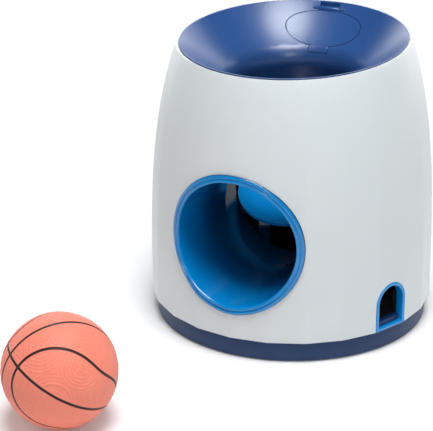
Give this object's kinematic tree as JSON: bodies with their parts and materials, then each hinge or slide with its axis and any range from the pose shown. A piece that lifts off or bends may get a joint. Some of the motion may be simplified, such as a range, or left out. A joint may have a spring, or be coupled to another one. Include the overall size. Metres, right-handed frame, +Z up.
{
  "type": "dog puzzle toy",
  "caption": "Ball-drop treat toy: a ball dropped in the tilted funnel tips a dish, a geared drum lets treats down a chute to an arched port, and the ball rolls out of a side tunnel.",
  "frame": {"origin": "centre of the middle foot's face on the floor, under the centre of the housing", "axes": "+Z up, -Y out of the ball tunnel's mouth, +X to the side of the treat port"},
  "size_m": [0.1708, 0.3105, 0.1757],
  "materials": {
    "shell_plastic": "pale cool grey moulded plastic, satin",
    "navy_plastic": "navy moulded plastic, satin",
    "blue_plastic": "mid-blue moulded plastic, glossy",
    "dark_plastic": "near-black moulded plastic, matt",
    "gear_plastic": "natural off-white acetal, smooth",
    "bush_plastic": "self-lubricating bush plastic, dull yellow",
    "ball_rubber": "coral rubber with fine wavy tooling and dark seams, matt",
    "foot_rubber": "black soft rubber, matt",
    "axle_steel": "drawn steel rod",
    "screw_steel": "zinc-plated steel"
  },
  "bodies": {
    "housing": {"shell": "shell_plastic", "base_tray": "navy_plastic", "rubber_feet": "foot_rubber", "base_screws": "screw_steel", "floor_screws": "screw_steel", "funnel": "navy_plastic", "lid_hinge_pin": "axle_steel", "tunnel": "blue_plastic", "ball_ramp": "blue_plastic", "ball_guards": "shell_plastic", "axle_bushes": "bush_plastic", "left_bracket": "dark_plastic", "right_bracket": "dark_plastic", "drum_housing": "dark_plastic", "treat_hopper": "dark_plastic", "hopper_screws": "screw_steel", "treat_chute": "blue_plastic", "treat_port": "blue_plastic", "chamber_wall": "dark_plastic"},
    "treat_lid": {"lid": "navy_plastic"},
    "trigger": {"trigger_dish": "blue_plastic", "dish_axle": "axle_steel", "dish_axle_clips": "axle_steel", "weight_arm": "dark_plastic", "counterweight": "axle_steel", "sector_gear": "gear_plastic"},
    "drum": {"metering_drum": "gear_plastic", "drum_pinion": "gear_plastic", "drum_axle": "axle_steel", "drum_axle_clips": "axle_steel"},
    "loose_ball": {"ball": "ball_rubber"}
  },
  "joints": [
    {"name": "lid_open", "type": "hinge", "parent": "housing", "child": "treat_lid", "pos_m": [-0.00424, 0.0639, 0.17097], "axis": [-0.9978, -0.0661, -0.0047], "range_deg": [0, 115]},
    {"name": "trigger_tilt", "type": "hinge", "parent": "housing", "child": "trigger", "pos_m": [0, 0.03, 0.066], "axis": [1, 0, 0], "range_deg": [0, 20]},
    {"name": "drum_turn", "type": "hinge", "parent": "housing", "child": "drum", "pos_m": [0, 0.06, 0.0859], "axis": [1, 0, 0], "range_deg": [-100, 0]},
    {"name": "ball_lift", "type": "slide", "parent": "housing", "child": "loose_ball", "axis": [0, 0, 1], "range_m": [0, 0.25]}
  ],
  "couplings": [
    {"joint": "drum_turn", "follows": "trigger_tilt", "ratio": -5}
  ]
}
